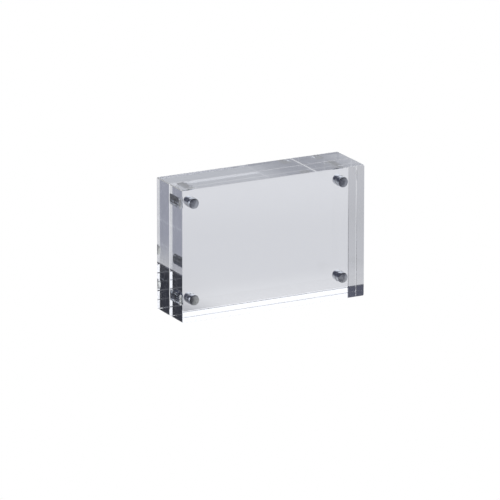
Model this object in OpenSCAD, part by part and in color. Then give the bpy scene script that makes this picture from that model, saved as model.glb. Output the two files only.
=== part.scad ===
// Clear block frame: two polished slabs that close on each other, held by a
// magnet pair near each corner, with a print between them.
// The frame stands on the plane z = 0 and faces the viewer along +Y, so left is -X.
// The seam between the two blocks is the plane y = 0.

/* [Blocks] */
// Width of each block, the long side of the print
block_w = 75; // [50:0.5:250]
// Height of each block, the short side of the print
block_h = 50; // [40:0.5:200]
// Thickness of each block
block_t = 10.2; // [8:0.1:25]
// Leg of the polished bevel along every edge of a block
edge_bevel = 0.2; // [0.05:0.05:0.6]

/* [Magnets] */
// Diameter of each magnet
magnet_d = 4; // [3:0.5:6]
// Length of each magnet
magnet_l = 4; // [2:0.5:6]
// Leg of the chamfer round both ends of a magnet
magnet_chamfer = 0.15; // [0.05:0.05:0.4]
// Distance from the outer edges of a block to the axis of a magnet
magnet_inset = 6.75; // [5:0.05:12]

/* [Fits] */
// How far a magnet stands out of the inner face of its block
magnet_proud = 0.05; // [0.02:0.01:0.2]
// Radial clearance between a magnet and its bore
bore_clearance = 0.05; // [0.01:0.01:0.1]
// Room for the drop of adhesive between a magnet and the floor of its bore
glue_gap = 0.1; // [0.05:0.05:0.5]
// Leg of the chamfer round the mouth of a bore
mouth_chamfer = 0.2; // [0.1:0.05:0.4]

/* [Hidden] */
// Facets round a magnet and its bore
round_steps = 96;

SIDES = ["front", "back"];

// Each corner's name, then its direction across and up from the middle of a block
CORNERS = [["top_left", [-1, 1]], ["top_right", [1, 1]],
           ["bottom_left", [-1, -1]], ["bottom_right", [1, -1]]];

function magnet_name(side, corner) = str(side, "_magnet_", corner[0]);

// Rectangle a by b with its four corners cut off by the bevel
function bevelled_outline(a, b) =
    let (x = a / 2, y = b / 2, c = edge_bevel)
    [[c - x, -y], [x - c, -y], [x, c - y], [x, y - c],
     [x - c, y], [c - x, y], [-x, y - c], [-x, c - y]];

module bevelled_bar(a, b, length)
    linear_extrude(length, center = true) polygon(bevelled_outline(a, b));

// Slab about the origin: each of the three bars bevels four of the twelve edges
module slab()
    intersection() {
        bevelled_bar(block_w, block_t, block_h);
        rotate([90, 0, 0]) bevelled_bar(block_w, block_h, block_t);
        rotate([0, 90, 0]) bevelled_bar(block_h, block_t, block_w);
    }

// Its child is drawn with +Y leading away from the seam, and is turned to face forwards for the front
module on_side(side)
    mirror([0, side == "front" ? 1 : 0, 0]) children();

// Its child is drawn round +Z from the origin, and is laid along the axis of a corner's magnet
module at_corner(corner)
    translate([corner[1].x * (block_w / 2 - magnet_inset), 0,
               block_h / 2 + corner[1].y * (block_h / 2 - magnet_inset)])
        rotate([-90, 0, 0]) children();

// The bore is cut from the seam, so its chamfer runs on from the inner face of the block
module bore()
    rotate_extrude($fn = round_steps)
        let (r = magnet_d / 2 + bore_clearance, c = mouth_chamfer + magnet_proud, depth = magnet_l + glue_gap)
            polygon([[0, 0], [r + c, 0], [r, c], [r, depth], [0, depth]]);

module magnet_body()
    rotate_extrude($fn = round_steps)
        let (r = magnet_d / 2, c = magnet_chamfer)
            polygon([[0, 0], [r - c, 0], [r, c], [r, magnet_l - c], [r - c, magnet_l], [0, magnet_l]]);

module bored_block(side)
    on_side(side)
        difference() {
            translate([0, magnet_proud + block_t / 2, block_h / 2]) slab();
            for (corner = CORNERS) at_corner(corner) bore();
        }

module front_block() color([0.88, 0.92, 0.95, 0.35]) bored_block("front");

module back_block() color([0.84, 0.89, 0.93, 0.35]) bored_block("back");

// A front and a back magnet meet face to face on the seam
module magnet(side, corner) color("silver") on_side(side) at_corner(corner) magnet_body();

front_block();
back_block();
for (side = SIDES, corner = CORNERS)
    magnet(side, corner);
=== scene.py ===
"""Clear block frame: models its two slabs and eight magnets as they look, and the studio around them."""

import math

import bmesh
import bpy
from bpy.props import FloatProperty, FloatVectorProperty, IntProperty, PointerProperty
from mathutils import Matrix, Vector


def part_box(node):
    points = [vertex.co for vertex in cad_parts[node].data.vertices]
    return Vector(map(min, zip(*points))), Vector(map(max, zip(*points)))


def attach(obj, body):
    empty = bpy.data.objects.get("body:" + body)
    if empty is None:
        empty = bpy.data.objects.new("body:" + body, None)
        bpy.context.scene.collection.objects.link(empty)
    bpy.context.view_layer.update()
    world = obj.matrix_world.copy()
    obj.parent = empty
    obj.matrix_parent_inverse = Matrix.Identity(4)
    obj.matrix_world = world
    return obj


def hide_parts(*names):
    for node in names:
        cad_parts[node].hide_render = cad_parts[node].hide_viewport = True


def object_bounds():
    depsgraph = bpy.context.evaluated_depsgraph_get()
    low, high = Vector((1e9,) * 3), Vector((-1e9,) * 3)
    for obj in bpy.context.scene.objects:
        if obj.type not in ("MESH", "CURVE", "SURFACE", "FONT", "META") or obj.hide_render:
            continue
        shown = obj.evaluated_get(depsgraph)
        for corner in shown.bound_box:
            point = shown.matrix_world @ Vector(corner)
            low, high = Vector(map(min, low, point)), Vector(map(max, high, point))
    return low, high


bl_info = {
    "name": "Clear block frame",
    "version": (1, 0, 0),
    "blender": (4, 5, 0),
    "location": "3D View > Sidebar > Block frame",
    "description": "Models a clear block frame of acrylic slabs and plated magnets, in a bright-field studio",
    "category": "Add Mesh",
}

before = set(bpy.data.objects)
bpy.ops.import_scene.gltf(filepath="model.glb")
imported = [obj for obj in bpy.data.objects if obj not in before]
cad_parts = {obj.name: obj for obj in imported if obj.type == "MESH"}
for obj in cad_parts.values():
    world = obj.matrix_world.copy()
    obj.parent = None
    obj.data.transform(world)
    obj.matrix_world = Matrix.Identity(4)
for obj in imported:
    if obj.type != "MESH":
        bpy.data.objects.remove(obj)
CAD_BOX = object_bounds()
LOW, HIGH = (Vector(corner) for corner in CAD_BOX)

# The bodies that the pieces ride on
FRONT, BACK = "front", "back"

# Where the photograph puts the object, in the pixels of its square frame
PHOTO_WIDTH = 500
FOCAL_LENGTH_PX = 6153
OBJECT_CENTRE_PX = (260.9, 236.7)

MM = 0.001
STRAIGHT_AHEAD = Vector((0, 1, 0))

# Places of the colours among the sockets of a Mix node, whose names serve its other types too
COLOUR_A, COLOUR_B, MIXED_COLOUR = 6, 7, 2

# How closely the marks of each finish lie along X, Y and Z, in marks per metre. Those of the polishing head
# are close together across the thickness and long along the sides, so that the wide faces stay clear.
POLISH_MARKS = (6, 2600, 6)
HAZE_MARKS = (22, 620, 22)
CUT_MARKS = (900, 900, 900)
HANDLING_MARKS = (350, 350, 350)
ADHESIVE_MARKS = (440, 440, 440)

# Where each shade of the covered table starts and where it is full, measured inwards from the frame's outline
RIGHT_SHADE = (25.5 * MM, 3.5 * MM)
BACK_SHADE = (6.65 * MM, 6.05 * MM)
LEFT_LIGHT = (9.5 * MM, 3.5 * MM)
END_LIGHT = (0.6 * MM, 0.2 * MM)


class SlabSettings(bpy.types.PropertyGroup):
    """Sizes and finish of the clear slabs"""
    short_bevel: FloatProperty(
        name="Short bevel", description="Leg of the cut bevel along the edges that run from front to back",
        default=0.3 * MM, min=0.01 * MM, unit="LENGTH", subtype="DISTANCE", precision=5)
    edge_bevel: FloatProperty(
        name="Edge bevel", description="Leg of the cut bevel along the other outer edges",
        default=0.2 * MM, min=0.01 * MM, unit="LENGTH", subtype="DISTANCE", precision=5)
    seam_bevel: FloatProperty(
        name="Seam bevel", description="Leg of the cut bevel along the long edges of the inner face",
        default=0.12 * MM, min=0.01 * MM, unit="LENGTH", subtype="DISTANCE", precision=5)
    # Painted glow: strength of an emission on the upper short bevels and beside the seam, which stands in for
    # light leaving the slab there
    painted_edge_glow: FloatProperty(
        name="Edge light",
        description="Light trapped in a slab that leaves it along its upper short edges and beside the seam",
        default=0.35, min=0, max=1)
    adhesive_grip: FloatProperty(
        name="Adhesive grip",
        description="How far the bore wall lies inside a magnet, where adhesive joins the two",
        default=0.03 * MM, min=0.005 * MM, unit="LENGTH", subtype="DISTANCE", precision=5)
    dry_mouth: FloatProperty(
        name="Dry mouth", description="Length of bore beside the seam that the adhesive leaves dry",
        default=0.15 * MM, min=0.02 * MM, unit="LENGTH", subtype="DISTANCE", precision=5)
    tint: FloatVectorProperty(
        name="Tint", description="Colour of the clear acrylic", default=(0.992, 0.995, 1.0), size=3,
        min=0, max=1, subtype="COLOR")
    haze: FloatVectorProperty(
        name="Haze", description="Colour of the acrylic along a line of the polishing head",
        default=(0.88, 0.895, 0.91), size=3, min=0, max=1, subtype="COLOR")
    refraction: FloatProperty(
        name="Refraction", description="Index of refraction of cast acrylic", default=1.5, min=1, max=2)
    polish_lines: FloatProperty(
        name="Polish lines",
        description="Height of the fine lines that the polishing head leaves along the narrow sides",
        default=0.0001 * MM, min=0, unit="LENGTH", subtype="DISTANCE", precision=6)


class MagnetSettings(bpy.types.PropertyGroup):
    """Sizes and finish of the plated magnets"""
    plating_ease: FloatProperty(
        name="Plating ease", description="How far the side of a magnet lies inside its nominal diameter",
        default=0.05 * MM, min=0, unit="LENGTH", subtype="DISTANCE", precision=5)
    rim_round: FloatProperty(
        name="Rim rounding", description="Radius of the rounding round both ends",
        default=0.2 * MM, min=0.02 * MM, unit="LENGTH", subtype="DISTANCE", precision=5)
    crown: FloatProperty(
        name="Crown", description="How much the glued end rises from its rim to its middle",
        default=0.03 * MM, min=0, unit="LENGTH", subtype="DISTANCE", precision=5)
    facets: IntProperty(
        name="Facets", description="Sides of a magnet and of its bore", default=96, min=24, max=256)
    bright: FloatVectorProperty(
        name="Bright nickel", description="Colour of clean plating", default=(0.6, 0.63, 0.68), size=3,
        min=0, max=1, subtype="COLOR")
    dull: FloatVectorProperty(
        name="Dull nickel", description="Colour of handled plating", default=(0.36, 0.385, 0.44), size=3,
        min=0, max=1, subtype="COLOR")
    glued_light: FloatVectorProperty(
        name="Glued end, light", description="Colour of the glued end where the adhesive is thin",
        default=(0.80, 0.81, 0.77), size=3, min=0, max=1, subtype="COLOR")
    glued_dark: FloatVectorProperty(
        name="Glued end, dark", description="Colour of the glued end where the adhesive is thick",
        default=(0.22, 0.225, 0.235), size=3, min=0, max=1, subtype="COLOR")
    # Painted shade across the glued end: how far it moves the end's colour towards the dark glued colour at
    # the upper left and towards the light one opposite
    end_shade_strength: FloatProperty(
        name="Adhesive run",
        description="How much thicker the adhesive is at the side of the glued end that it ran to",
        default=0.5, min=0, max=1)


class StudioSettings(bpy.types.PropertyGroup):
    """Camera, table and light"""
    azimuth: FloatProperty(
        name="Azimuth", description="How far round to the left of the front the camera stands",
        default=math.radians(27.9), unit="ROTATION", subtype="ANGLE")
    elevation: FloatProperty(
        name="Elevation", description="How far above the horizon the camera stands",
        default=math.radians(16.26), unit="ROTATION", subtype="ANGLE")
    distance: FloatProperty(
        name="Distance", description="From the camera to the middle of the frame",
        default=2.25, min=0.3, unit="LENGTH", subtype="DISTANCE")
    # The table colours below are painted light and shade, which glass and metal see in place of a lit table
    # top
    open_table: FloatVectorProperty(
        name="Table behind",
        description="Colour of the table top behind the frame, as glass and metal see it",
        default=(0.65, 0.655, 0.68), size=3, min=0, max=1, subtype="COLOR")
    near_table: FloatVectorProperty(
        name="Table close by", description="Colour of the table top close to the frame",
        default=(0.73, 0.735, 0.76), size=3, min=0, max=1, subtype="COLOR")
    far_table: FloatVectorProperty(
        name="Table far behind", description="Colour of the table top far behind the frame and at its ends",
        default=(0.72, 0.725, 0.75), size=3, min=0, max=1, subtype="COLOR")
    front_table: FloatVectorProperty(
        name="Table at the front right",
        description="Colour of the table top where the camera side shades it",
        default=(0.385, 0.40, 0.485), size=3, min=0, max=1, subtype="COLOR")
    left_table: FloatVectorProperty(
        name="Table at the left",
        description="Colour of the table top where the dark left side shades it",
        default=(0.13, 0.135, 0.16), size=3, min=0, max=1, subtype="COLOR")
    # Painted shadow of the frame on the table top under it
    covered_table: FloatVectorProperty(
        name="Table under the frame", description="Colour of the table top that the frame covers",
        default=(0.33, 0.345, 0.39), size=3, min=0, max=1, subtype="COLOR")
    shaded_table: FloatVectorProperty(
        name="Table under the far end",
        description="Colour of the covered table top at the back and the right end",
        default=(0.06, 0.07, 0.12), size=3, min=0, max=1, subtype="COLOR")
    lit_table: FloatVectorProperty(
        name="Table under the left end",
        description="Colour of the covered table top where light comes in from the left",
        default=(0.8, 0.805, 0.85), size=3, min=0, max=1, subtype="COLOR")
    backdrop: FloatVectorProperty(
        name="Backdrop light", description="Light of the bright backdrop behind the frame at the right",
        default=(1.2, 1.22, 1.28), size=3, min=0, max=4, subtype="COLOR")
    back_left: FloatVectorProperty(
        name="Back left", description="Light of the dark side behind the frame at the left",
        default=(0.085, 0.09, 0.125), size=3, min=0, max=4, subtype="COLOR")
    front_left: FloatVectorProperty(
        name="Front left", description="Light of the dark room on the camera side at the left",
        default=(0.05, 0.05, 0.06), size=3, min=0, max=4, subtype="COLOR")
    front_right: FloatVectorProperty(
        name="Front right", description="Light of the dark room on the camera side at the right",
        default=(0.02, 0.022, 0.03), size=3, min=0, max=4, subtype="COLOR")
    overhead: FloatVectorProperty(
        name="Overhead light", description="Light of the softbox overhead",
        default=(0.1, 0.105, 0.12), size=3, min=0, max=4, subtype="COLOR")


def deselect_all():
    bpy.ops.object.select_all(action="DESELECT")


def pick(piece):
    """Makes a piece the only one selected, and the active one."""
    deselect_all()
    piece.select_set(True)
    bpy.context.view_layer.objects.active = piece


def settle(piece):
    """Puts the place, turn and size of a piece into its mesh."""
    pick(piece)
    bpy.ops.object.transform_apply(location=True, rotation=True, scale=True)


def round_edges(piece, radius, segments, material=-1, sharpest=math.radians(75), chosen=None):
    """Bevels the edges of a piece that are sharper than the angle given, or those of them that are chosen."""
    pick(piece)
    bpy.ops.object.mode_set(mode="EDIT")
    bpy.ops.mesh.select_mode(type="EDGE")
    bpy.ops.mesh.select_all(action="DESELECT")
    bpy.ops.mesh.edges_select_sharp(sharpness=sharpest)
    if chosen is not None:
        editing = bmesh.from_edit_mesh(piece.data)
        for edge in editing.edges:
            edge.select = edge.select and chosen(*(corner.co for corner in edge.verts))
        editing.select_flush_mode()
        bmesh.update_edit_mesh(piece.data)
    bpy.ops.mesh.bevel(offset=radius, segments=segments, affect="EDGES", material=material)
    bpy.ops.object.mode_set(mode="OBJECT")


def select_face(piece, direction):
    """Selects, in edit mode, the face of a piece that lies furthest along a direction."""
    pick(piece)
    bpy.ops.object.mode_set(mode="EDIT")
    bpy.ops.mesh.select_mode(type="FACE")
    bpy.ops.mesh.select_all(action="DESELECT")
    bpy.ops.object.mode_set(mode="OBJECT")
    furthest = max(piece.data.polygons, key=lambda face: face.center.dot(direction))
    furthest.select = True
    bpy.ops.object.mode_set(mode="EDIT")


def smooth_round_sides(piece, sharpest=math.radians(25)):
    """Shades the round sides smooth, up to the sharpest angle given, and leaves the flat faces flat."""
    pick(piece)
    bpy.ops.object.shade_smooth_by_angle(angle=sharpest)


def copy_of(piece, name, shift=(0, 0, 0), turned=False):
    """A copy with its own mesh, moved, and turned half round the upright axis if it faces the other way."""
    pick(piece)
    bpy.ops.object.duplicate()
    copy = bpy.context.object
    copy.name = name
    if turned:
        bpy.ops.transform.rotate(value=math.pi, orient_axis="Z", center_override=(0, 0, 0))
    bpy.ops.transform.translate(value=shift)
    settle(copy)
    return copy


def magnet_nodes(side):
    """The four magnets of one slab, in a fixed order."""
    return sorted(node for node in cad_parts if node.startswith(side + "_magnet"))


def middle(node):
    """Centre of a node's box."""
    low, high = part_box(node)
    return (low + high) / 2


def dress(piece, node, body):
    """Lets a piece stand for a node: hides the node and puts the piece on the node's body."""
    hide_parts(node)
    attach(piece, body)


def add_node(tree, kind, links=None, values=None, **settings):
    """Adds a node, sets it up, and fills its named or numbered inputs from links or with plain values."""
    node = tree.nodes.new(kind)
    for key, value in settings.items():
        setattr(node, key, value)
    for key, value in (values or {}).items():
        node.inputs[key].default_value = value
    for key, source in (links or {}).items():
        tree.links.new(source, node.inputs[key])
    return node


def calculate(tree, operation, *terms, **settings):
    """Result of a sum on numbers and on other nodes' outputs."""
    links = {place: term for place, term in enumerate(terms) if isinstance(term, bpy.types.NodeSocket)}
    values = {place: term for place, term in enumerate(terms) if place not in links}
    return add_node(tree, "ShaderNodeMath", links, values, operation=operation, **settings).outputs["Value"]


def smooth_step(tree, source, start, end):
    """Mask that rises from 0 at start to 1 at end."""
    step = add_node(tree, "ShaderNodeMapRange", {"Value": source}, {"From Min": start, "From Max": end},
                    interpolation_type="SMOOTHSTEP")
    return step.outputs["Result"]


def blend_colours(tree, mask, low, high):
    """Colour that goes from low to high with the mask; each is a colour or another node's output."""
    blend = add_node(tree, "ShaderNodeMix", {"Factor": mask}, data_type="RGBA")
    for place, colour in ((COLOUR_A, low), (COLOUR_B, high)):
        if isinstance(colour, bpy.types.NodeSocket):
            tree.links.new(colour, blend.inputs[place])
        else:
            blend.inputs[place].default_value = (*colour, 1)
    return blend.outputs[MIXED_COLOUR]


def blend_shaders(tree, mask, low, high):
    """Shader that goes from low to high with the mask."""
    return add_node(tree, "ShaderNodeMixShader", {0: mask, 1: low, 2: high}).outputs["Shader"]


def parts_of(tree, vector):
    """X, Y and Z of a vector."""
    return add_node(tree, "ShaderNodeSeparateXYZ", {"Vector": vector}).outputs


def reach_along(tree, vector, direction):
    """How far a vector reaches along a direction."""
    product = add_node(tree, "ShaderNodeVectorMath", {0: vector}, {1: direction}, operation="DOT_PRODUCT")
    return product.outputs["Value"]


def empty_material(name):
    """A new material without nodes, and its node tree."""
    material = bpy.data.materials.new(name)
    material.use_nodes = True
    material.node_tree.nodes.clear()
    return material, material.node_tree


def marks_group():
    """Fine marks, drawn out along an axis or not: lines of a polishing head or blotches of handling."""
    name = "finish_marks"
    if name in bpy.data.node_groups:
        return bpy.data.node_groups[name]
    group = bpy.data.node_groups.new(name, "ShaderNodeTree")
    group.interface.new_socket("Position", in_out="INPUT", socket_type="NodeSocketVector")
    group.interface.new_socket("Marks per metre", in_out="INPUT", socket_type="NodeSocketVector")
    group.interface.new_socket("Contrast", in_out="INPUT", socket_type="NodeSocketFloat")
    group.interface.new_socket("Mask", in_out="OUTPUT", socket_type="NodeSocketFloat")
    inside = add_node(group, "NodeGroupInput")
    scaled = add_node(group, "ShaderNodeVectorMath",
                      {0: inside.outputs["Position"], 1: inside.outputs["Marks per metre"]},
                      operation="MULTIPLY")
    noise = add_node(group, "ShaderNodeTexNoise", {"Vector": scaled.outputs["Vector"]},
                     {"Scale": 1.0, "Detail": 3.0, "Roughness": 0.55})
    mid_grey = 0.5
    centred = calculate(group, "SUBTRACT", noise.outputs["Fac"], mid_grey)
    spread = calculate(group, "MULTIPLY_ADD", centred, inside.outputs["Contrast"], mid_grey, use_clamp=True)
    add_node(group, "NodeGroupOutput", {"Mask": spread})
    return group


def finish_marks(tree, position, marks_per_metre, contrast):
    """Mask of the marks of one finish."""
    marks = add_node(tree, "ShaderNodeGroup", node_tree=marks_group())
    tree.links.new(position, marks.inputs["Position"])
    marks.inputs["Marks per metre"].default_value = marks_per_metre
    marks.inputs["Contrast"].default_value = contrast
    return marks.outputs["Mask"]


def roughness_of(tree, marks, smoothest, dullest):
    """Roughness that goes from the smoothest to the dullest with the marks of a finish."""
    between = add_node(tree, "ShaderNodeMapRange", {"Value": marks}, {"To Min": smoothest, "To Max": dullest})
    return between.outputs["Result"]


def clear_acrylic(slab):
    """Clear cast acrylic: the polishing head leaves fine lines along the four narrow sides."""
    material, tree = empty_material("clear_acrylic")
    surface = add_node(tree, "ShaderNodeTexCoord").outputs
    lines = finish_marks(tree, surface["Object"], POLISH_MARKS, contrast=1.6)
    bump = add_node(tree, "ShaderNodeBump", {"Height": lines},
                    {"Strength": 1.0, "Distance": slab.polish_lines})
    # Only the wide faces point to the front and back, so the mask leaves the haze off them
    facing = calculate(tree, "ABSOLUTE", parts_of(tree, surface["Normal"])["Y"])
    narrow = smooth_step(tree, facing, start=0.8, end=0.5)
    streaks = finish_marks(tree, surface["Object"], HAZE_MARKS, contrast=2.0)
    haze = calculate(tree, "MULTIPLY", streaks, narrow)
    tint = blend_colours(tree, haze, tuple(slab.tint), tuple(slab.haze))
    glass = add_node(tree, "ShaderNodeBsdfPrincipled", {"Base Color": tint, "Normal": bump.outputs["Normal"]},
                     {"Roughness": 0.0, "IOR": slab.refraction, "Transmission Weight": 1.0})
    add_node(tree, "ShaderNodeOutputMaterial", {"Surface": glass.outputs["BSDF"]})
    return material


def edge_glow_mask(tree, position, slab, seam_share=0.2):
    """Mask of the cut edges that get a painted glow: the upper ones at both ends, and a little of the upright
    ones beside the seam."""
    parts = parts_of(tree, position)
    sideways, off_seam = (calculate(tree, "ABSOLUTE", parts[axis]) for axis in "XY")
    reach = slab.short_bevel
    upper = smooth_step(tree, parts["Z"], HIGH.z - 2 * reach, HIGH.z - reach)
    beside_seam = smooth_step(tree, off_seam, 2 * reach, reach)
    either = calculate(tree, "MAXIMUM", upper, calculate(tree, "MULTIPLY", beside_seam, seam_share))
    ends = smooth_step(tree, sideways, HIGH.x - 2 * reach, HIGH.x - reach)
    return calculate(tree, "MULTIPLY", either, ends)


def cut_edge(slab):
    """The bevels are cut and left a little dull, and some carry a painted glow, an emission that stands in
    for light leaving the slab.
    """
    material, tree = empty_material("cut_edge")
    position = add_node(tree, "ShaderNodeTexCoord").outputs["Object"]
    marks = finish_marks(tree, position, CUT_MARKS, contrast=2.0)
    roughness = roughness_of(tree, marks, smoothest=0.05, dullest=0.12)
    # Painted glow: the masked bevels emit the acrylic's tint
    light = blend_colours(tree, edge_glow_mask(tree, position, slab), (0, 0, 0), tuple(slab.tint))
    glass = add_node(tree, "ShaderNodeBsdfPrincipled",
                     {"Roughness": roughness, "Emission Color": light},
                     {"Base Color": (*slab.tint, 1), "IOR": slab.refraction, "Transmission Weight": 1.0,
                      "Emission Strength": slab.painted_edge_glow})
    add_node(tree, "ShaderNodeOutputMaterial", {"Surface": glass.outputs["BSDF"]})
    return material


def painted_end_shade(tree, normal, radius, magnet, upper_left=(-0.9, 0, 0.43)):
    """Painted shade across the glued end: how much darker it makes the upper left and how much lighter the
    opposite side. The slope of the crown tells the side."""
    steepest = 2 * magnet.crown / radius
    run = add_node(tree, "ShaderNodeMapRange", {"Value": reach_along(tree, normal, upper_left)},
                   {"From Min": -steepest, "From Max": steepest,
                    "To Min": -magnet.end_shade_strength, "To Max": magnet.end_shade_strength})
    return run.outputs["Result"]


def nickel_plate(magnet):
    """Bright nickel, dulled a little by handling, with blotches of adhesive on the glued end and a painted
    shade across it.
    """
    material, tree = empty_material("nickel_plate")
    surface = add_node(tree, "ShaderNodeTexCoord").outputs
    low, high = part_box(magnet_nodes(FRONT)[0])
    radius, length = (high.z - low.z) / 2, high.y - low.y
    handled = finish_marks(tree, surface["Object"], HANDLING_MARKS, contrast=2.0)
    side = blend_colours(tree, handled, tuple(magnet.bright), tuple(magnet.dull))
    smeared = finish_marks(tree, surface["Object"], ADHESIVE_MARKS, contrast=3.0)
    # Painted shade: added to the adhesive blotches, it darkens the glued end at the upper left and lightens
    # it opposite
    run = painted_end_shade(tree, surface["Normal"], radius, magnet)
    thick = calculate(tree, "ADD", smeared, run, use_clamp=True)
    end = blend_colours(tree, thick, tuple(magnet.glued_light), tuple(magnet.glued_dark))
    from_seam = calculate(tree, "ABSOLUTE", parts_of(tree, surface["Object"])["Y"])
    glued = smooth_step(tree, from_seam, length - magnet.rim_round, length - magnet.rim_round / 2)
    colour = blend_colours(tree, glued, side, end)
    roughness = roughness_of(tree, handled, smoothest=0.05, dullest=0.1)
    metal = add_node(tree, "ShaderNodeBsdfPrincipled", {"Base Color": colour, "Roughness": roughness},
                     {"Metallic": 1.0})
    add_node(tree, "ShaderNodeOutputMaterial", {"Surface": metal.outputs["BSDF"]})
    return material


class OBJECT_OT_frame_slabs(bpy.types.Operator):
    """Model the front slab with its four bores, and turn a copy of it round for the back"""
    bl_idname = "object.frame_slabs"
    bl_label = "Clear slabs"
    bl_options = {"REGISTER", "UNDO"}

    def execute(self, context):
        slab = context.scene.frame_slab
        low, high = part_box("front_block")
        centre = middle("front_block")
        deselect_all()
        bpy.ops.mesh.primitive_cube_add(size=1, location=centre)
        front = context.object
        front.name = "front_slab"
        front.scale = high - low
        settle(front)
        front.data.materials.append(clear_acrylic(slab))
        front.data.materials.append(cut_edge(slab))
        cut_finish = len(front.data.materials) - 1

        def from_front_to_back(start, end):
            return abs(end.y - start.y) > high.y - centre.y

        def along_the_seam(start, end):
            return start.x * end.x < 0 and start.y > centre.y

        for leg, chosen in ((slab.short_bevel, from_front_to_back), (slab.seam_bevel, along_the_seam),
                            (slab.edge_bevel, None)):
            round_edges(front, leg, segments=1, material=cut_finish, chosen=chosen)
        for node in magnet_nodes(FRONT):
            self.bore(context, front, node)
        smooth_round_sides(front)
        back = copy_of(front, "back_slab", turned=True)
        dress(front, "front_block", FRONT)
        dress(back, "back_block", BACK)
        return {"FINISHED"}

    def bore(self, context, front, node):
        """Cuts a blind bore whose wall and floor reach the magnet through the adhesive, with a dry mouth."""
        slab, magnet = context.scene.frame_slab, context.scene.frame_magnet
        low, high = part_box(node)
        radius = (high.x - low.x) / 2 - magnet.plating_ease - slab.adhesive_grip
        floor = low.y + slab.adhesive_grip
        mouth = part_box("front_block")[1].y
        wet_end = mouth - slab.dry_mouth
        centre = middle(node)
        deselect_all()
        bpy.ops.mesh.primitive_cylinder_add(
            vertices=magnet.facets, radius=radius, depth=wet_end - floor,
            location=(centre.x, (wet_end + floor) / 2, centre.z), rotation=(math.pi / 2, 0, 0))
        cutter = context.object
        settle(cutter)
        clearance = slab.adhesive_grip + magnet.plating_ease
        for step, widening in ((slab.adhesive_grip, clearance), (2 * slab.dry_mouth, slab.dry_mouth)):
            select_face(cutter, STRAIGHT_AHEAD)
            bpy.ops.mesh.extrude_region_move(TRANSFORM_OT_translate={"value": (0, step, 0)})
            growth = 1 + widening / radius
            bpy.ops.transform.resize(value=(growth, 1, growth), center_override=tuple(centre))
            bpy.ops.object.mode_set(mode="OBJECT")
        pick(front)
        cut = front.modifiers.new("bore", "BOOLEAN")
        cut.operation, cut.object, cut.solver = "DIFFERENCE", cutter, "EXACT"
        bpy.ops.object.modifier_apply(modifier=cut.name)
        bpy.data.objects.remove(cutter)


class OBJECT_OT_frame_magnets(bpy.types.Operator):
    """Model one plated magnet, and copy it to the other seven bores"""
    bl_idname = "object.frame_magnets"
    bl_label = "Magnets"
    bl_options = {"REGISTER", "UNDO"}

    def execute(self, context):
        pattern_node = magnet_nodes(FRONT)[0]
        pattern = self.pattern(context, pattern_node)
        pattern.data.materials.append(nickel_plate(context.scene.frame_magnet))
        for side, turned in ((FRONT, False), (BACK, True)):
            for node in magnet_nodes(side):
                start = middle(pattern_node)
                if turned:
                    start = Vector((-start.x, -start.y, start.z))
                copy = copy_of(pattern, "plated_" + node, middle(node) - start, turned)
                dress(copy, node, side)
        bpy.data.objects.remove(pattern)
        return {"FINISHED"}

    def pattern(self, context, node):
        """A round bar with rounded rims, flat where it meets its partner and crowned where it is glued."""
        magnet = context.scene.frame_magnet
        low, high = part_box(node)
        glued, seam = low.y + magnet.crown, high.y
        centre = middle(node)
        radius = (high.x - low.x) / 2 - magnet.plating_ease
        deselect_all()
        bpy.ops.mesh.primitive_cylinder_add(
            vertices=magnet.facets, radius=radius, depth=seam - glued,
            location=(centre.x, (seam + glued) / 2, centre.z), rotation=(math.pi / 2, 0, 0))
        bar = context.object
        settle(bar)
        round_edges(bar, magnet.rim_round, segments=5)
        self.raise_crown(bar, radius - magnet.rim_round, magnet.crown)
        smooth_round_sides(bar)
        return bar

    def raise_crown(self, bar, face_radius, crown, rings=5):
        """Insets the glued face ring by ring, each ring a little higher, in a shallow arc."""
        step = face_radius / (rings + 1)
        height = 0
        for ring in range(1, rings + 1):
            share = ring / rings
            higher = crown * (1 - (1 - share) ** 2)
            select_face(bar, -STRAIGHT_AHEAD)
            bpy.ops.mesh.inset(thickness=step, depth=higher - height)
            bpy.ops.object.mode_set(mode="OBJECT")
            height = higher


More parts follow.
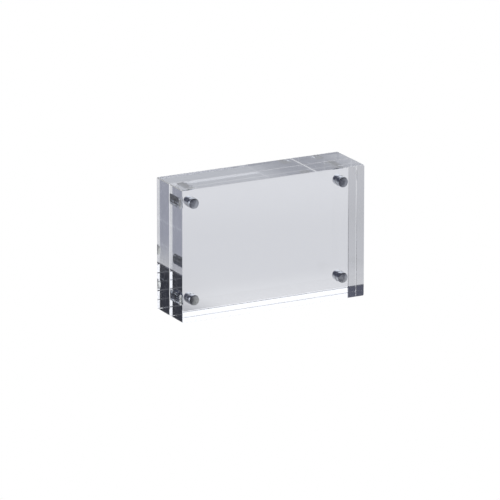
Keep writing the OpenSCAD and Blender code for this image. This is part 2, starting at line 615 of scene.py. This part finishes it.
class OBJECT_OT_frame_studio(bpy.types.Operator):
    """Set up the camera, the table top, the bright backdrop and the overhead light"""
    bl_idname = "object.frame_studio"
    bl_label = "Studio"
    bl_options = {"REGISTER", "UNDO"}

    def execute(self, context):
        studio = context.scene.frame_studio
        context.scene.view_settings.view_transform = "Standard"
        self.count_bounces(context.scene.cycles)
        self.place_camera(context, studio)
        self.lay_table(context, studio)
        self.light(context.scene, studio)
        return {"FINISHED"}

    def count_bounces(self, cycles, bounces=32):
        """Light turns many times inside a slab before it leaves."""
        cycles.max_bounces = bounces
        cycles.glossy_bounces = bounces
        cycles.transmission_bounces = bounces
        cycles.transparent_max_bounces = bounces

    def place_camera(self, context, studio, far_clip=50.0):
        """A long lens, aimed so that the frame falls where the photograph has it."""
        target = (LOW + HIGH) / 2
        level = math.cos(studio.elevation)
        forward = Vector((math.sin(studio.azimuth) * level, math.cos(studio.azimuth) * level,
                          -math.sin(studio.elevation)))
        right = Vector((math.cos(studio.azimuth), -math.sin(studio.azimuth), 0))
        up = right.cross(forward)
        aside = (OBJECT_CENTRE_PX[0] - PHOTO_WIDTH / 2) / FOCAL_LENGTH_PX
        below = (OBJECT_CENTRE_PX[1] - PHOTO_WIDTH / 2) / FOCAL_LENGTH_PX
        aim = forward - right * aside + up * below
        turn = aim.to_track_quat("-Z", "Y")
        bpy.ops.object.camera_add(location=target - forward * studio.distance, rotation=turn.to_euler())
        camera = context.object
        camera.name = "studio_camera"
        camera.data.lens = FOCAL_LENGTH_PX / PHOTO_WIDTH * camera.data.sensor_width
        camera.data.clip_end = far_clip
        context.scene.camera = camera

    def lay_table(self, context, studio, table_width=8.0, gap=0.05 * MM):
        """A wide table top, a hair below the slabs that stand on it."""
        deselect_all()
        bpy.ops.mesh.primitive_plane_add(size=table_width, location=(0, 0, -gap))
        table = context.object
        table.name = "table_top"
        settle(table)
        table.data.materials.append(self.table_material(studio))

    def table_material(self, studio, contact_reach=1 * MM, gloss_roughness=0.03, lacquer=1.37):
        """White to the camera; glass and metal see its painted tones of light and shade, its gloss and the
        painted shadow under the frame.
        """
        material, tree = empty_material("table_top")
        position = add_node(tree, "ShaderNodeTexCoord").outputs["Object"]
        openness = add_node(tree, "ShaderNodeAmbientOcclusion", None, {"Distance": contact_reach}, samples=8)
        # Painted contact shadow: where ambient occlusion finds the frame close, the covered tone replaces the
        # open one
        tone = blend_colours(tree, openness.outputs["AO"], self.covered_tone(tree, position, studio),
                             self.open_tone(tree, position, studio))
        # The tones are emitted, not lit by any lamp
        matt = add_node(tree, "ShaderNodeEmission", {"Color": tone})
        gloss = add_node(tree, "ShaderNodeBsdfGlossy", None, {"Roughness": gloss_roughness})
        sheen = add_node(tree, "ShaderNodeFresnel", None, {"IOR": lacquer})
        open_sheen = calculate(tree, "MULTIPLY", sheen.outputs["Fac"], openness.outputs["AO"])
        seen_by_glass = blend_shaders(tree, open_sheen, matt.outputs["Emission"], gloss.outputs["BSDF"])
        white = add_node(tree, "ShaderNodeEmission", None, {"Color": (1, 1, 1, 1)})
        to_camera = add_node(tree, "ShaderNodeLightPath").outputs["Is Camera Ray"]
        either = blend_shaders(tree, to_camera, seen_by_glass, white.outputs["Emission"])
        add_node(tree, "ShaderNodeOutputMaterial", {"Surface": either})
        return material

    def open_tone(self, tree, position, studio):
        """Painted light and shade of the open table top: one tone after another sets in, each along its own
        direction.
        """
        distance = add_node(tree, "ShaderNodeVectorMath", {"Vector": position}, operation="LENGTH")
        close_by = smooth_step(tree, distance.outputs["Value"], start=130 * MM, end=60 * MM)
        everywhere = 1.0
        # Painted light and shade: a little darker just behind the frame, lighter far behind, painted shade at
        # the front right and a painted shadow close to the left end
        # Each colour, the direction that it lies in, how far out it starts and is full, and where it may show
        zones = ((studio.open_table, (0, 1, 0), 14 * MM, 40 * MM, everywhere),
                 (studio.far_table, (0.3, 0.95, 0), 90 * MM, 170 * MM, everywhere),
                 (studio.front_table, (0.47, -0.88, 0), 0 * MM, 60 * MM, everywhere),
                 (studio.left_table, (-0.97, -0.24, 0), 8 * MM, 40 * MM, close_by))
        tone = tuple(studio.near_table)
        for colour, direction, start, full, within in zones:
            zone = smooth_step(tree, reach_along(tree, position, direction), start, full)
            tone = blend_colours(tree, calculate(tree, "MULTIPLY", zone, within), tone, tuple(colour))
        return tone

    def covered_tone(self, tree, position, studio):
        """Tone of the table top under the frame: shaded at the back and towards the right, and lit at the
        left end and in a thin line along both ends."""
        parts = parts_of(tree, position)

        def near_edge(coordinate, edge, insets):
            start, full = (edge - math.copysign(inset, edge) for inset in insets)
            return smooth_step(tree, coordinate, start, full)

        shaded = calculate(tree, "MAXIMUM", near_edge(parts["X"], HIGH.x, RIGHT_SHADE),
                           near_edge(parts["Y"], HIGH.y, BACK_SHADE))
        left = near_edge(parts["X"], LOW.x, LEFT_LIGHT)
        ends = near_edge(calculate(tree, "ABSOLUTE", parts["X"]), HIGH.x, END_LIGHT)
        tone = tuple(studio.covered_table)
        for mask, colour in ((shaded, studio.shaded_table), (left, studio.lit_table),
                             (ends, studio.far_table)):
            tone = blend_colours(tree, mask, tone, tuple(colour))
        return tone

    def light(self, scene, studio, back_blur=0.25, side_blur=0.2, softbox_rim=0.6, softbox_full=0.85):
        """Bright-field light: a bright backdrop behind the frame at the right, a dark room round about and a
        dim softbox overhead. The camera sees white."""
        world = bpy.data.worlds.new("studio")
        world.use_nodes = True
        tree = world.node_tree
        tree.nodes.clear()
        scene.world = world
        view = add_node(tree, "ShaderNodeTexCoord").outputs["Generated"]
        direction = add_node(tree, "ShaderNodeVectorMath", {"Vector": view}, operation="NORMALIZE")
        axes = parts_of(tree, direction.outputs["Vector"])
        behind = smooth_step(tree, axes["Y"], -back_blur, back_blur)
        to_the_right = smooth_step(tree, axes["X"], -side_blur, side_blur)
        high_up = smooth_step(tree, axes["Z"], softbox_rim, softbox_full)
        camera_side = blend_colours(tree, to_the_right, tuple(studio.front_left), tuple(studio.front_right))
        far_side = blend_colours(tree, to_the_right, tuple(studio.back_left), tuple(studio.backdrop))
        round_about = blend_colours(tree, behind, camera_side, far_side)
        surround = blend_colours(tree, high_up, round_about, tuple(studio.overhead))
        to_camera = add_node(tree, "ShaderNodeLightPath").outputs["Is Camera Ray"]
        seen = blend_colours(tree, to_camera, surround, (1, 1, 1))
        background = add_node(tree, "ShaderNodeBackground", {"Color": seen})
        add_node(tree, "ShaderNodeOutputWorld", {"Surface": background.outputs["Background"]})


class VIEW3D_PT_block_frame(bpy.types.Panel):
    """Lists the pieces of the block frame and their settings"""
    bl_idname = "VIEW3D_PT_block_frame"
    bl_label = "Block frame"
    bl_space_type = "VIEW_3D"
    bl_region_type = "UI"
    bl_category = "Block frame"

    def draw(self, context):
        groups = ((OBJECT_OT_frame_studio, context.scene.frame_studio),
                  (OBJECT_OT_frame_slabs, context.scene.frame_slab),
                  (OBJECT_OT_frame_magnets, context.scene.frame_magnet))
        for operator, settings in groups:
            box = self.layout.box()
            box.operator(operator.bl_idname)
            for name in settings.__annotations__:
                box.prop(settings, name)


CLASSES = (SlabSettings, MagnetSettings, StudioSettings, OBJECT_OT_frame_slabs, OBJECT_OT_frame_magnets,
           OBJECT_OT_frame_studio, VIEW3D_PT_block_frame)


def register():
    for cls in CLASSES:
        bpy.utils.register_class(cls)
    bpy.types.Scene.frame_slab = PointerProperty(type=SlabSettings)
    bpy.types.Scene.frame_magnet = PointerProperty(type=MagnetSettings)
    bpy.types.Scene.frame_studio = PointerProperty(type=StudioSettings)


def unregister():
    del bpy.types.Scene.frame_slab
    del bpy.types.Scene.frame_magnet
    del bpy.types.Scene.frame_studio
    for cls in reversed(CLASSES):
        bpy.utils.unregister_class(cls)


def main():
    register()
    bpy.ops.object.frame_studio()
    bpy.ops.object.frame_slabs()
    bpy.ops.object.frame_magnets()


if __name__ == "__main__":
    main()
